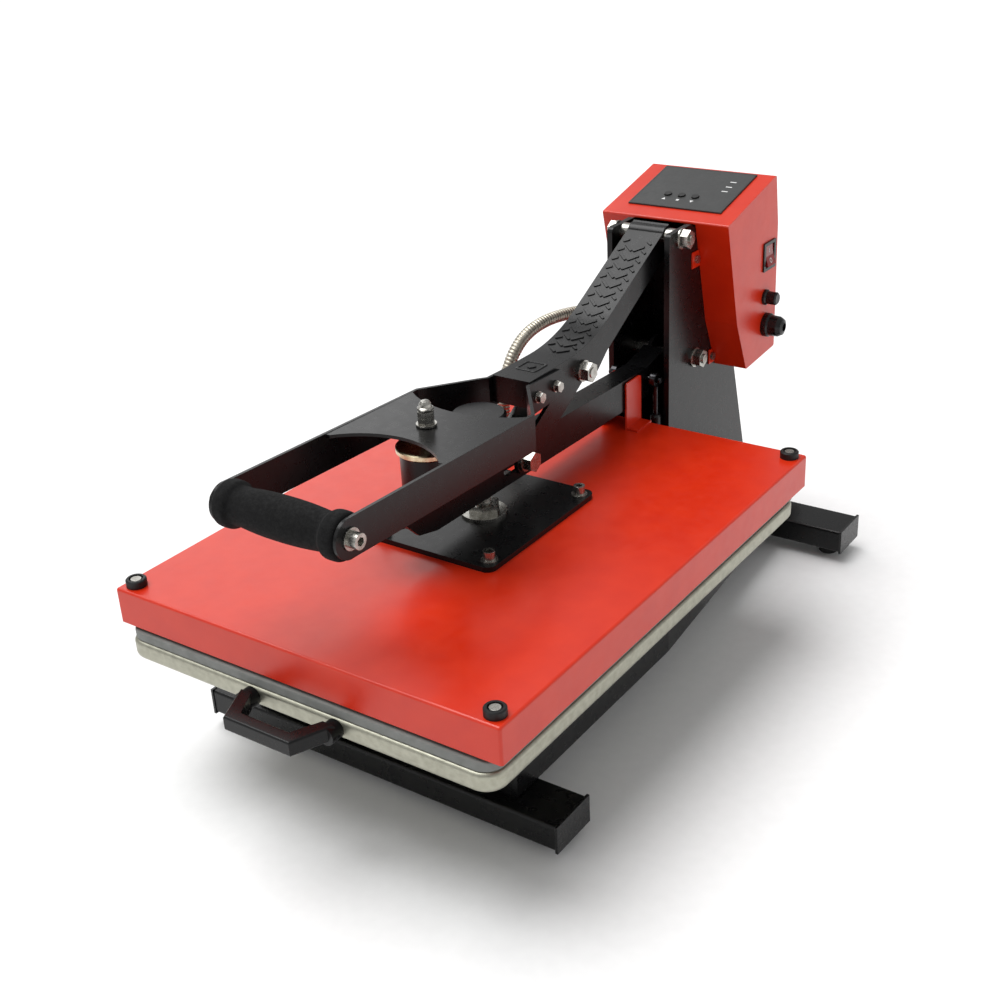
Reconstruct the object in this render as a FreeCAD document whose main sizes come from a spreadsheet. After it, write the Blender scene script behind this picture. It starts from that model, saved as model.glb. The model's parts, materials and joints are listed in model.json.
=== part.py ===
import FreeCAD, Part
import os
from math import cos, pi, radians, sqrt, tan

import Sketcher

# A clamshell heat press with a pull-out lower platen. Millimetres, +Z up, -Y towards the user.
# The origin lies on the table, under the middle of the whole machine.

DRIVING = {
    "foot_high": 13, "foot_radius": 10.5,
    "beam_long": 380, "beam_wide": 48, "beam_high": 25, "beam_wall": 2,
    "front_beam_y": -242.5, "rear_beam_y": 335.5,
    "member_reach": 145, "member_wide": 40,
    "tower_half": 36, "tower_sheet": 6, "tower_front": 204.5, "tower_top": 379,
    "press_y": -80.5, "cover_wide": 400, "cover_deep": 529, "cover_high": 33,
    "cover_top": 185, "cover_sheet": 1.5,
    "platen_half": 194, "platen_front": -349, "platen_back": 180,
    "platen_low": 121.5, "platen_thick": 18.5, "pad_thick": 9,
    "heater_half_x": 193, "heater_half_y": 257, "heater_thick": 15,
    "mount_half_x": 67, "mount_half_y": 86, "mount_thick": 5,
    "lever_y": 228.5, "lever_z": 370, "arm_y": 260.5, "arm_z": 233,
    "link_y": 62.5, "link_z": 282.5, "toe_y": -34.5, "toe_z": 227.5,
    "pivot_radius": 5, "fit_gap": 0.05, "slot_travel": 22,
    "channel_half": 20.2, "channel_wall": 3, "handle_half": 64.1, "handle_sheet": 3,
    "grip_y": -330.5, "grip_z": 294.5, "grip_radius": 19.5, "grip_waist": 15.6,
    "grip_belly": 18,
    "arm_half": 12.5, "arm_wall": 4, "bar_thick": 4, "bar_radius": 13.5,
    "magnet_y": -154, "magnet_radius": 25, "magnet_low": 248, "magnet_high": 281.7,
    "spindle_radius": 7, "knob_radius": 25, "box_half": 73.4, "box_sheet": 1.5,
    "key_radius": 3.9, "conduit_radius": 6.5, "strut_x": 23.5,
    "strut_top_y": 197.5, "strut_top_z": 227, "strut_low_y": 199.5, "strut_low_z": 82,
}

doc = FreeCAD.newDocument("heat_press")
sheet = doc.addObject("Spreadsheet::Sheet", "dims")
for line, (alias, value) in enumerate(DRIVING.items(), start=1):
    sheet.set(f"A{line}", alias)
    sheet.set(f"B{line}", str(value))
    sheet.setAlias(f"B{line}", alias)
doc.recompute()


class Size:
    """A length that carries its value and the sheet expression it comes from."""

    def __init__(self, value, text):
        self.value = float(value)
        self.text = text

    def join(self, sign, other, value):
        return Size(value, f"({self.text} {sign} {text_of(other)})")

    def __add__(self, other):
        return self.join("+", other, self.value + value_of(other))

    def __sub__(self, other):
        return self.join("-", other, self.value - value_of(other))

    def __mul__(self, other):
        return self.join("*", other, self.value * value_of(other))

    def __truediv__(self, other):
        return self.join("/", other, self.value / value_of(other))

    def __neg__(self):
        return Size(-self.value, f"(0 - {self.text})")


def value_of(size):
    return size.value if isinstance(size, Size) else float(size)


def text_of(size):
    return size.text if isinstance(size, Size) else f"({float(size):.6f})"


def as_size(size):
    return size if isinstance(size, Size) else Size(size, text_of(size))


class Dims:
    """The sheet's cells, by alias."""

    def __getattr__(self, alias):
        return Size(sheet.get(alias), f"dims.{alias}")


d = Dims()
subparts = []
AXIS_TURN = {
    "x": FreeCAD.Rotation(FreeCAD.Vector(0, 1, 0), 90),
    "y": FreeCAD.Rotation(FreeCAD.Vector(1, 0, 0), -90),
    "z": FreeCAD.Rotation(),
}
ROLE = {"x": "YZ_Plane", "y": "XZ_Plane", "z": "XY_Plane"}


def bind(thing, path, size):
    """Tie one property to the sheet."""
    thing.setExpression(path, text_of(size))


def place(thing, x, y, z, turn=None):
    """Give a thing its place, tied to the sheet."""
    where = FreeCAD.Vector(value_of(x), value_of(y), value_of(z))
    thing.Placement = FreeCAD.Placement(where, turn or FreeCAD.Rotation())
    for axis, size in zip("xyz", (x, y, z)):
        bind(thing, f"Placement.Base.{axis}", size)
    return thing


def along(axis, start, centre):
    """The point on a line parallel to an axis: centre holds the other two coordinates."""
    spot = list(centre)
    spot.insert("xyz".index(axis), start)
    return spot


def box(x, y, z):
    """A block from three (low, high) pairs."""
    block = doc.addObject("Part::Box", "block")
    for side, (low, high) in zip(("Length", "Width", "Height"), (x, y, z)):
        bind(block, side, as_size(high) - low)
    return place(block, x[0], y[0], z[0])


def rod(axis, radius, span, centre):
    """A round bar along an axis."""
    bar = doc.addObject("Part::Cylinder", "bar")
    bind(bar, "Radius", radius)
    bind(bar, "Height", as_size(span[1]) - span[0])
    return place(bar, *along(axis, span[0], centre), AXIS_TURN[axis])


def hexagon(axis, across, span, centre):
    """A hexagonal bar, measured across its flats."""
    bar = doc.addObject("Part::Prism", "hexagon")
    bar.Polygon = 6
    bind(bar, "Circumradius", across / sqrt(3))
    bind(bar, "Height", as_size(span[1]) - span[0])
    return place(bar, *along(axis, span[0], centre), AXIS_TURN[axis])


def fuse(*shapes):
    whole = doc.addObject("Part::MultiFuse", "fusion")
    whole.Shapes = list(shapes)
    return whole


def cut(base, *tools):
    hole = doc.addObject("Part::Cut", "cut")
    hole.Base = base
    hole.Tool = tools[0] if len(tools) == 1 else fuse(*tools)
    return hole


def overlap(first, second):
    both = doc.addObject("Part::MultiCommon", "overlap")
    both.Shapes = [first, second]
    return both


def group(*shapes):
    """Separate solids that share one node."""
    many = doc.addObject("Part::Compound", "group")
    many.Links = list(shapes)
    return many


def ring(axis, outer, inner, span, centre):
    return cut(rod(axis, outer, span, centre), rod(axis, inner, span, centre))


def bevel(base, radius, edges):
    """Round the edges that a test picks."""
    doc.recompute()
    picked = [n for n, edge in enumerate(base.Shape.Edges, start=1) if edges(edge)]
    soft = doc.addObject("Part::Fillet", "rounding")
    soft.Base = base
    soft.Edges = [(n, radius, radius) for n in picked]
    return soft


def upright(edge):
    """True for a straight edge along Z."""
    low, high = edge.BoundBox.ZMin, edge.BoundBox.ZMax
    return high - low > 1 and abs(edge.Length - (high - low)) < 1e-6


def crosswise(edge):
    """True for a straight edge along X."""
    return edge.BoundBox.XLength > 1 and abs(edge.Length - edge.BoundBox.XLength) < 1e-6


def crosswise_at(edge, y):
    """True for a straight edge along X at some y."""
    return crosswise(edge) and abs(edge.BoundBox.Center.y - y) < 1


def sketch_on(body, axis, points):
    """A closed outline on one of the body's own planes, each corner tied to the sheet."""
    plane = [item for item in body.Origin.OriginFeatures if item.Role == ROLE[axis]][0]
    drawing = body.newObject("Sketcher::SketchObject", "outline")
    drawing.AttachmentSupport = (plane, [""])
    drawing.MapMode = "FlatFace"
    corners = [FreeCAD.Vector(value_of(u), value_of(v), 0) for u, v in points]
    count = len(corners)
    for n in range(count):
        drawing.addGeometry(Part.LineSegment(corners[n], corners[(n + 1) % count]), False)
    for n in range(count):
        drawing.addConstraint(Sketcher.Constraint("Coincident", n, 2, (n + 1) % count, 1))
    for n, (u, v) in enumerate(points):
        for kind, size in (("DistanceX", u), ("DistanceY", v)):
            spot = drawing.addConstraint(Sketcher.Constraint(kind, -1, 1, n, 1, value_of(size)))
            if isinstance(size, Size):
                drawing.setExpression(f"Constraints[{spot}]", size.text)
    return drawing


def slab(axis, span, points):
    """An outline in the plane across an axis, padded over a span; XZ pads run towards -Y."""
    body = doc.addObject("PartDesign::Body", "slab")
    pad = body.newObject("PartDesign::Pad", "pad")
    pad.Profile = sketch_on(body, axis, points)
    bind(pad, "Length", as_size(span[1]) - span[0])
    start = span[1] if axis == "y" else span[0]
    return place(body, *along(axis, start, (0, 0)))


def turned(axis, centre, profile):
    """A turned piece: profile holds (radius, height along the axis) corners."""
    body = doc.addObject("PartDesign::Body", "turning")
    drawing = sketch_on(body, "y", profile)
    spin = body.newObject("PartDesign::Revolution", "revolution")
    spin.Profile = drawing
    spin.ReferenceAxis = (drawing, ["V_Axis"])
    spin.Angle = 360
    return place(body, *along(axis, 0, centre), AXIS_TURN[axis])


def keep(label, thing):
    """Name a sub-part, which is then written to its own file."""
    thing.Label = label
    subparts.append(thing)
    return thing


def mirrored(build):
    """The same piece on both sides: build is called with +1 and with -1."""
    return [build(side) for side in (1, -1)]


def span_x(side, inner, outer):
    """The x span between two distances from the middle plane."""
    if side > 0:
        return inner, outer
    return -as_size(outer), -as_size(inner)


def nut(side, face, across, high, centre):
    """A hexagon nut standing outwards from a face at some distance from the middle plane."""
    return hexagon("x", across, span_x(side, face, as_size(face) + high), centre)


def washer(side, face, radius, hole, thick, centre):
    return ring("x", radius, hole, span_x(side, face, as_size(face) + thick), centre)


def socket_head(axis, span, radius, centre, outwards):
    """A socket cap head; its hexagon socket opens at the outer end."""
    low, high = span
    deep = (high - low) * 0.55
    socket = (high - deep, high + 1) if outwards > 0 else (low - 1, low + deep)
    return cut(rod(axis, radius, span, centre), hexagon(axis, radius, socket, centre))


def pivot_bolt(reach, stack_face, centre):
    """A through bolt: shank, head on the left, lock nut on the right and two washers."""
    hole = d.pivot_radius + 0.1
    plate = 2
    face = as_size(stack_face)
    shank = rod("x", d.pivot_radius, (-(face + plate), face + plate + reach), centre)
    head = hexagon("x", 17, (-(face + plate + 7), -(face + plate)), centre)
    lock_nut = cut(nut(1, face + plate, 17, 9, centre),
                   rod("x", d.pivot_radius, (face, face + plate + 10), centre))
    washers = [washer(side, face, 10.5, hole, plate, centre) for side in (1, -1)]
    return [fuse(shank, head), lock_nut] + washers


# --- Base frame -------------------------------------------------------------------------------

beam_low = d.foot_high
beam_top = d.foot_high + d.beam_high
member_top = beam_top + d.beam_high
base_plate_top = member_top + 6
beam_middles = (d.front_beam_y, d.rear_beam_y)


def cross_beam(middle):
    """A rectangular steel tube, open at its ends."""
    half = d.beam_wide / 2
    outer = box((-(d.beam_long / 2), d.beam_long / 2), (middle - half, middle + half),
                (beam_low, beam_top))
    outer = bevel(outer, 3, crosswise)
    wall = d.beam_wall
    bore = box((-(d.beam_long / 2), d.beam_long / 2),
               (middle - half + wall, middle + half - wall), (beam_low + wall, beam_top - wall))
    return cut(outer, bore)


def beam_cap(middle, side):
    """A plastic plug with a lip a little larger than the tube."""
    half = d.beam_wide / 2 + 0.8
    lip = box(span_x(side, d.beam_long / 2, d.beam_long / 2 + 2.5),
              (middle - half, middle + half), (beam_low - 0.8, beam_top + 0.8))
    plug = box(span_x(side, d.beam_long / 2 - 15, d.beam_long / 2 + 1),
               (middle - half + 3, middle + half - 3), (beam_low + 2.2, beam_top - 2.2))
    return fuse(lip, plug)


def foot(middle, side):
    """A rubber foot with a chamfered rim and a short stem inside the tube."""
    centre = (169 * side, middle)
    rim = d.foot_radius
    return turned("z", centre, [(0, 0), (rim - 1.5, 0), (rim, 1.5), (rim, d.foot_high),
                                (0, d.foot_high)])


def side_member(side):
    """A flat tube that runs straight back from the front beam, then in towards the tower."""
    reach, wide = d.member_reach, d.member_wide
    plan = [(reach, -252), (reach, 4.5), (112, 359), (as_size(112) - wide, 359),
            (reach - wide, 4.5), (reach - wide, -252)]
    if side < 0:
        plan = [(-as_size(x), y) for x, y in plan]
    return bevel(slab("z", (beam_top, member_top), plan), 2.5, lambda edge: edge.Length > 200)


keep("cross_beams", group(*[cross_beam(middle) for middle in beam_middles]))
keep("beam_end_caps", group(*[beam_cap(m, s) for m in beam_middles for s in (1, -1)]))
keep("feet", group(*[foot(m, s) for m in beam_middles for s in (1, -1)]))
keep("side_members", group(*mirrored(side_member)))
keep("tower_base_plate", bevel(box((-112, 112), (184, 391.5), (member_top, base_plate_top)), 6,
                               upright))

# --- Tower ------------------------------------------------------------------------------------

lever_axis = (d.lever_y, d.lever_z)
arm_axis = (d.arm_y, d.arm_z)
tower_inner = d.tower_half - d.tower_sheet


def tower_plate(side):
    """An upright cheek: plumb at the front, raked at the rear."""
    profile = [(d.tower_front, base_plate_top), (391.5, base_plate_top), (306.5, 372),
               (262, 372), (250, d.tower_top), (d.tower_front, d.tower_top)]
    cheek = slab("x", span_x(side, tower_inner, d.tower_half), profile)
    cheek = bevel(cheek, 6, lambda edge: crosswise(edge) and edge.BoundBox.ZMax > 378)
    holes = [rod("x", d.pivot_radius + 0.1, (-50, 50), axis) for axis in (lever_axis, arm_axis)]
    return cut(cheek, *holes)


def tower_spacers():
    """Tubes on the two pivot bolts that centre the lever and the arm between the cheeks."""
    hole = d.pivot_radius + 0.1
    upper = [ring("x", 9, hole, span_x(s, d.channel_half + 0.3, tower_inner), lever_axis)
             for s in (1, -1)]
    lower = [ring("x", 9, hole, span_x(s, d.arm_half + 0.3, tower_inner), arm_axis)
             for s in (1, -1)]
    return upper + lower


keep("tower_plates", group(*mirrored(tower_plate)))
keep("tower_back_panel", box((-tower_inner, tower_inner), (291.5, 294.5), (base_plate_top, 360)))
keep("tower_pivot_bolts", group(*pivot_bolt(11, d.tower_half, lever_axis),
                                *pivot_bolt(11, d.tower_half, arm_axis)))
keep("pivot_spacers", group(*tower_spacers()))

# --- Control box ------------------------------------------------------------------------------

BOX_FRONT_TOP = (258.5, 379)
BOX_REAR_TOP = (370.5, 406)
BOX_PROFILE = [BOX_FRONT_TOP, BOX_REAR_TOP, (378.5, 353), (379.5, 214), (309.5, 209), (284.5, 267)]
SLOPE_LONG = sqrt((BOX_REAR_TOP[0] - BOX_FRONT_TOP[0]) ** 2
                  + (BOX_REAR_TOP[1] - BOX_FRONT_TOP[1]) ** 2)
SLOPE = ((BOX_REAR_TOP[0] - BOX_FRONT_TOP[0]) / SLOPE_LONG,
         (BOX_REAR_TOP[1] - BOX_FRONT_TOP[1]) / SLOPE_LONG)
CONSOLE_LEAN = FreeCAD.Rotation(FreeCAD.Vector(0, 0, 1), FreeCAD.Vector(0, -SLOPE[1], SLOPE[0]))
KEY_ROW = 48
KEY_PLACES = {"button_up": -20, "button_set": -4, "button_down": 12}
CONDUIT_ROUTE = [(-80, 69.5, 189), (-80, 69.5, 216), (-80, 72, 243), (-79, 84, 269),
                 (-78, 108, 287), (-75, 141, 293), (-70, 176, 291), (-63, 212, 285),
                 (-57, 246, 280), (-55, 269, 279), (-55, 290, 279)]
conduit_end = CONDUIT_ROUTE[-1]


def on_console(along_slope, above):
    """A point of the sloped console: distance up the slope and height above it, as (y, z)."""
    return (BOX_FRONT_TOP[0] + SLOPE[0] * along_slope - SLOPE[1] * above,
            BOX_FRONT_TOP[1] + SLOPE[1] * along_slope + SLOPE[0] * above)


def console_block(x, along_slope, above):
    """A block that lies on the sloped console."""
    corners = [on_console(along_slope[0], above[0]), on_console(along_slope[1], above[0]),
               on_console(along_slope[1], above[1]), on_console(along_slope[0], above[1])]
    return slab("x", x, corners)


def shrunk(profile, by):
    """The box profile moved inwards by a wall's thickness, towards its own middle."""
    count = len(profile)
    moved = []
    for n in range(count):
        before, here, after = profile[n - 1], profile[n], profile[(n + 1) % count]
        lines = []
        for start, end in ((before, here), (here, after)):
            run = (end[0] - start[0], end[1] - start[1])
            size = sqrt(run[0] ** 2 + run[1] ** 2)
            inward = (run[1] / size, -run[0] / size)
            lines.append((inward, inward[0] * here[0] + inward[1] * here[1] + by))
        (a, p), (b, q) = lines
        across = a[0] * b[1] - a[1] * b[0]
        moved.append(((p * b[1] - q * a[1]) / across, (a[0] * q - b[0] * p) / across))
    return moved


def control_shell():
    """Folded red sheet: console, sides, floor and front, open at the rear and round the tower."""
    wall = DRIVING["box_sheet"]
    half = d.box_half
    outer = slab("x", (-half, half), BOX_PROFILE)
    outer = bevel(outer, 2, lambda edge: crosswise(edge))
    inner = shrunk(BOX_PROFILE, wall)
    front_top, rear_top, kink, rear_low, front_low, front_kink = inner
    hollow = [front_top, (rear_top[0] + 9, rear_top[1] + 1.8), (kink[0] + 9, kink[1]),
              (rear_low[0] + 9, rear_low[1] + 0.3), front_low, front_kink]
    cavity = slab("x", (-(half - wall), half - wall), hollow)
    opening = d.tower_half + 0.1
    doorway = slab("x", (-opening, opening), [(250, 376.5), (290, 376.5), (352, 300), (352, 200),
                                              (250, 200)])
    fitting = rod("y", 10.1, (260, 300), (conduit_end[0], conduit_end[2]))
    shell = cut(outer, cavity, doorway, fitting, switch_hole(), *side_holes())
    tabs = []
    for side in (1, -1):
        faces = span_x(side, opening, opening + wall)
        tabs.append(slab("x", faces, [(251, 332), (268.5, 332), (264.8, 349), (251, 349)]))
        tabs.append(slab("x", faces, [(293, 214), (306, 214), (299.5, 230), (293, 230)]))
    return fuse(shell, *tabs)


def switch_hole():
    return box((70, 76), (345, 370), (309.5, 336.5))


def side_holes():
    return [rod("x", 6, (70, 76), (351.5, 278)), rod("x", 9, (70, 76), (354.5, 246))]


def back_cover():
    """The box's rear sheet, set between its sides."""
    wall = DRIVING["box_sheet"]
    outer = BOX_PROFILE
    inner = shrunk(BOX_PROFILE, wall)
    band = [(outer[1][0] - 0.2, inner[1][1] - 0.2), outer[2], (outer[3][0], inner[3][1] + 0.5),
            (inner[3][0], inner[3][1] + 0.5), inner[2], (inner[1][0] - 0.4, inner[1][1] - 0.3)]
    half = d.box_half - wall - 0.1
    return slab("x", (-half, half), band)


def box_screws():
    """Pan-head screws: four hold the box's tabs to the cheeks, four hold its rear cover."""
    face = DRIVING["tower_half"] + 0.1 + DRIVING["box_sheet"]
    heads = []
    for spot in ((259.5, 340.5), (298, 222)):
        for side in (1, -1):
            heads.append(rod("x", 4.2, span_x(side, face, face + 2.8), spot))
    for face, z in ((374.4, 385), (379.5, 230)):
        heads += [rod("y", 4, (face, face + 3), (side * 64, z)) for side in (1, -1)]
    return heads


def on_console_pin(x, radius, above):
    """A round pin square to the console, in the row of keys."""
    pin = doc.addObject("Part::Cylinder", "pin")
    bind(pin, "Radius", radius)
    pin.Height = above[1] - above[0]
    y, z = on_console(KEY_ROW, above[0])
    pin.Placement = FreeCAD.Placement(FreeCAD.Vector(x, y, z), CONSOLE_LEAN)
    return pin


def console_overlay():
    """The thin dark overlay with a hole for each key."""
    overlay = console_block((-54, 54), (22, 109), (0, 1.6))
    return cut(overlay, *[on_console_pin(x, d.key_radius + 0.4, (-1, 3))
                          for x in KEY_PLACES.values()])


def switch_frame():
    """A snap-in bezel round the rocker."""
    rim = box((73.4, 75.2), (343, 372), (307.5, 338.5))
    barrel = box((59, 73.5), (345.2, 369.8), (309.7, 336.3))
    well = box((61, 80), (347.2, 367.8), (310.7, 335.3))
    return cut(fuse(bevel(rim, 1.2, lambda edge: edge.BoundBox.XLength > 1), barrel), well)


keep("control_box", control_shell())
keep("control_box_back", back_cover())
keep("box_screws", group(*box_screws()))
keep("console_panel", console_overlay())
for label, x in KEY_PLACES.items():
    keep(label, on_console_pin(x, d.key_radius, (1.0, 3.0)))
keep("switch_frame", switch_frame())

keep("switch_rocker", slab("y", (348, 367), [(66, 313), (78, 312.6), (74.4, 323),
                                             (73.8, 334.2), (66, 333)]))
keep("fuse_cap", turned("x", (351.5, 278), [(0, 66), (5.8, 66), (5.8, 73.5), (8.5, 73.5), (8.5, 76),
                                            (7, 77.5), (7, 87), (5.5, 88.5), (0, 88.5)]))
keep("cable_gland", turned("x", (354.5, 246), [(4.5, 66), (8.8, 66), (8.8, 73.5), (13, 73.5),
                                               (13, 79), (11.5, 81), (11, 90), (8.5, 94.5),
                                               (4.5, 96)]))
keep("control_board", fuse(box((-60, 52), (329.5, 331.1), (300, 360)),
                           box((-50, -20), (331.1, 344), (305, 330)),
                           box((0, 18), (331.1, 346), (340, 352))))
keep("transformer", fuse(box((38, 62), (316, 352), (215, 245)),
                         box((41, 59), (312, 356), (219, 241))))

# --- Lever ------------------------------------------------------------------------------------

link_axis = (d.link_y, d.link_z)
toe_axis = (d.toe_y, d.toe_z)
bore_radius = d.pivot_radius + d.fit_gap
ear_faces = (DRIVING["channel_half"] + 0.2, DRIVING["channel_half"] + 0.2 + DRIVING["handle_sheet"])
EAR_BOLTS = ((-20.5, 286), (9.5, 286))
GRIP_AXIS = (d.grip_y, d.grip_z)


def lever_channel():
    """A bent channel, open below, closed at its nose; its top climbs at 27 degrees."""
    half, wall = d.channel_half, d.channel_wall
    side_view = [(-25, 302.3), (76.4, 302.3), (232, 382.2), (241, 372), (236, 358), (154.7, 314),
                 (108, 288), (88, 272), (-10, 272), (-25, 276)]
    outer = slab("x", (-half, half), side_view)
    outer = bevel(outer, 180, lambda edge: crosswise_at(edge, 76.4))
    outer = bevel(outer, 4, lambda edge: crosswise_at(edge, -10) or crosswise_at(edge, 88))
    hollow = slab("x", (-half + wall, half - wall),
                  [(-40, 299.3), (77.1, 299.3), (250, 388), (290, 300), (160, 240), (-40, 240)])
    hollow = bevel(hollow, 177, lambda edge: crosswise_at(edge, 77.1))
    boss = rod("x", 11, (-half, half), lever_axis)
    nose = box((-half, half), (-28, -25), (276, 302.3))
    bores = [rod("x", bore_radius, (-50, 50), axis) for axis in (lever_axis, link_axis)]
    small = [rod("x", 3.1, (-50, 50), spot) for spot in EAR_BOLTS]
    return fuse(cut(fuse(outer, boss), hollow, *bores, *small), nose)


def handle_frame():
    """One bent sheet: two cheeks, their tapers to the channel, and the bowed web between them."""
    sheet_thick, half = DRIVING["handle_sheet"], DRIVING["handle_half"]
    strips = []
    for side in (1, -1):
        plan = [(half, -365), (half, -86), (ear_faces[1], -33), (ear_faces[1], 26),
                (ear_faces[0], 26), (ear_faces[0], -34.2), (half - sheet_thick, -87.2),
                (half - sheet_thick, -365)]
        if side < 0:
            plan = [(-x, y) for x, y in plan]
        strips.append(slab("z", (250, 330), plan))
    side_view = [(d.grip_y, d.grip_z - 16.4), (-86, 268), (-34, 271), (26, 274), (26, 294),
                 (18, 299.5), (-40, 301.5), (-86, 301.3), (d.grip_y, d.grip_z + 16.4)]
    cheeks = overlap(fuse(*strips), fuse(slab("x", (-70, 70), side_view),
                                         rod("x", 16.5, (-70, 70), GRIP_AXIS)))
    holes = [rod("x", 3.1, (-40, 40), spot) for spot in EAR_BOLTS]
    return cut(cheeks, rod("x", 4.1, (-70, 70), GRIP_AXIS), *holes)


def handle_web():
    """The web plate rises a little towards the grip; both free edges are bowed in."""
    front, back = -212.5, -92.5
    front_low, back_low, thick = 302.9, 298.5, d.handle_sheet
    edge_half = d.handle_half - 1
    plate = slab("x", (-edge_half, edge_half), [(front, front_low), (back, back_low),
                                                (back, thick + back_low),
                                                (front, thick + front_low)])
    height = (290, 315)
    front_bow = rod("z", 73, height, (0, front + 27 - 73))
    back_bow = rod("z", 97, height, (0, back - 24 + 97))
    return cut(plate, front_bow, back_bow, rod("z", 4.6, height, (0, d.magnet_y)))


def grip_bolt(side):
    """A socket cap bolt with a washer, screwed into the grip tube's end."""
    face = d.handle_half
    head = socket_head("x", sorted((side * 65.7, side * 73.7)), 6.5, GRIP_AXIS, side)
    shank = rod("x", 4, span_x(side, 48, 65.7), GRIP_AXIS)
    return [fuse(head, shank), washer(side, face + 0.1, 9, 4.1, 1.5, GRIP_AXIS)]


def ear_bolt(side, spot):
    """A small bolt through the ear and the channel, with a nut on the outside."""
    shank = rod("x", 3, span_x(side, 14.2, 29.5), spot)
    head = rod("x", 4.4, span_x(side, 13.2, 17.1), spot)
    lock_nut = cut(nut(side, 25, 9, 4.5, spot), rod("x", 3, (-40, 40), spot))
    return [fuse(shank, head), lock_nut, washer(side, ear_faces[1] + 0.1, 5.5, 3.1, 1.4, spot)]


def link_bolt():
    """The bolt through the channel and both link bars, with a sleeve between the bars."""
    sleeve = ring("x", 8, d.pivot_radius + 0.1, (-12.6, 12.6), link_axis)
    return pivot_bolt(10, d.channel_half, link_axis) + [sleeve]


def armature_stud():
    """The stud that carries the armature, locked to the web, with an acorn nut on top."""
    centre = (0, d.magnet_y)
    stud = rod("z", 4, (287.7, 318), centre)
    nuts = [cut(hexagon("z", 13, span, centre), rod("z", 4, (280, 318), centre))
            for span in ((293.2, 298.7), (306.6, 312), (312.2, 317.6))]
    acorn = turned("z", centre, [(0, 318), (5.5, 318), (7, 319), (7, 320.5), (5.6, 321.6),
                                 (5.2, 324), (3.6, 326.4), (0, 327.2)])
    return [stud, acorn, ring("z", 9, 4.1, (304.6, 306.4), centre)] + nuts


keep("lever_channel", lever_channel())
keep("handle_frame", fuse(handle_frame(), handle_web()))
keep("grip_tube", ring("x", 8, 4.05, (-61, 61), GRIP_AXIS))
keep("grip_foam", turned("x", GRIP_AXIS, [(8.1, -60.6), (d.grip_radius - 2, -60.6),
                                          (d.grip_radius, -58.5), (d.grip_radius, -49),
                                          (d.grip_waist, -45), (d.grip_belly, -15),
                                          (d.grip_belly, 15), (d.grip_waist, 45),
                                          (d.grip_radius, 49), (d.grip_radius, 58.5),
                                          (d.grip_radius - 2, 60.6), (8.1, 60.6)]))
keep("grip_bolts", group(*grip_bolt(1), *grip_bolt(-1)))
keep("ear_bolts", group(*[piece for spot in EAR_BOLTS for side in (1, -1)
                          for piece in ear_bolt(side, spot)]))
keep("link_pivot_bolt", group(*link_bolt()))
keep("armature_disc", turned("z", (0, d.magnet_y), [(0, 282), (27, 282), (28, 283), (28, 286.5),
                                                    (27, 287.5), (0, 287.5)]))
keep("armature_stud", group(*armature_stud()))

# --- Link bars --------------------------------------------------------------------------------

bar_faces = (DRIVING["arm_half"] + 0.4, DRIVING["arm_half"] + 0.4 + DRIVING["bar_thick"])


def link_bar(side):
    """A flat bar with round ends between the lever's bolt and the arm's slot pin."""
    faces = span_x(side, *bar_faces)
    run_y, run_z = value_of(d.toe_y - d.link_y), value_of(d.toe_z - d.link_z)
    size = sqrt(run_y ** 2 + run_z ** 2)
    aside = (-run_z / size * DRIVING["bar_radius"], run_y / size * DRIVING["bar_radius"])
    shaft = slab("x", faces, [(d.link_y + aside[0], d.link_z + aside[1]),
                              (d.toe_y + aside[0], d.toe_z + aside[1]),
                              (d.toe_y - aside[0], d.toe_z - aside[1]),
                              (d.link_y - aside[0], d.link_z - aside[1])])
    ends = [rod("x", d.bar_radius, faces, axis) for axis in (link_axis, toe_axis)]
    return cut(fuse(shaft, *ends), rod("x", bore_radius, (-50, 50), link_axis),
               rod("x", d.pivot_radius, (-50, 50), toe_axis))


keep("link_bars", group(*mirrored(link_bar)))
keep("link_slot_pin", group(*pivot_bolt(9, bar_faces[1], toe_axis)))

# --- Press arm --------------------------------------------------------------------------------

ARM_TOP = [(-203, 244), (-198, 248), (-120, 248), (200, 237), (238, 246)]
ARM_UNDER = [(268, 224), (225, 206), (105, 206.5), (-165, 213), (-190, 219), (-207, 236)]
strut_pin_axis = (d.strut_top_y, d.strut_top_z)


def press_arm():
    """A narrow inverted channel, slotted for the link's pin, bored for the spindle's nut."""
    half, wall = d.arm_half, DRIVING["arm_wall"]
    outer = slab("x", (-half, half), ARM_TOP + ARM_UNDER)
    inner_top = [(-199, 240), (-196, 244), (-120.2, 244), (200, 233), (238, 242), (300, 242),
                 (300, 190), (-199, 190)]
    hollow = slab("x", (-half + wall, half - wall), inner_top)
    boss = rod("x", 17, (-half, half), arm_axis)
    eye_gap = rod("x", 18, (-half + wall, half - wall), arm_axis)
    slot_radius = 7.9
    slot_ends = [rod("x", slot_radius, (-30, 30), (d.toe_y - shift, d.toe_z))
                 for shift in (0, d.slot_travel)]
    slot = box((-30, 30), (d.toe_y - d.slot_travel, d.toe_y),
               (d.toe_z - slot_radius, d.toe_z + slot_radius))
    pins = [rod("x", bore_radius, (-30, 30), arm_axis), rod("x", 3, (-30, 30), strut_pin_axis)]
    nut_hole = rod("z", 11, (190, 260), (0, d.press_y))
    return cut(fuse(outer, boss), hollow, eye_gap, *slot_ends, slot, *pins, nut_hole)


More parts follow.
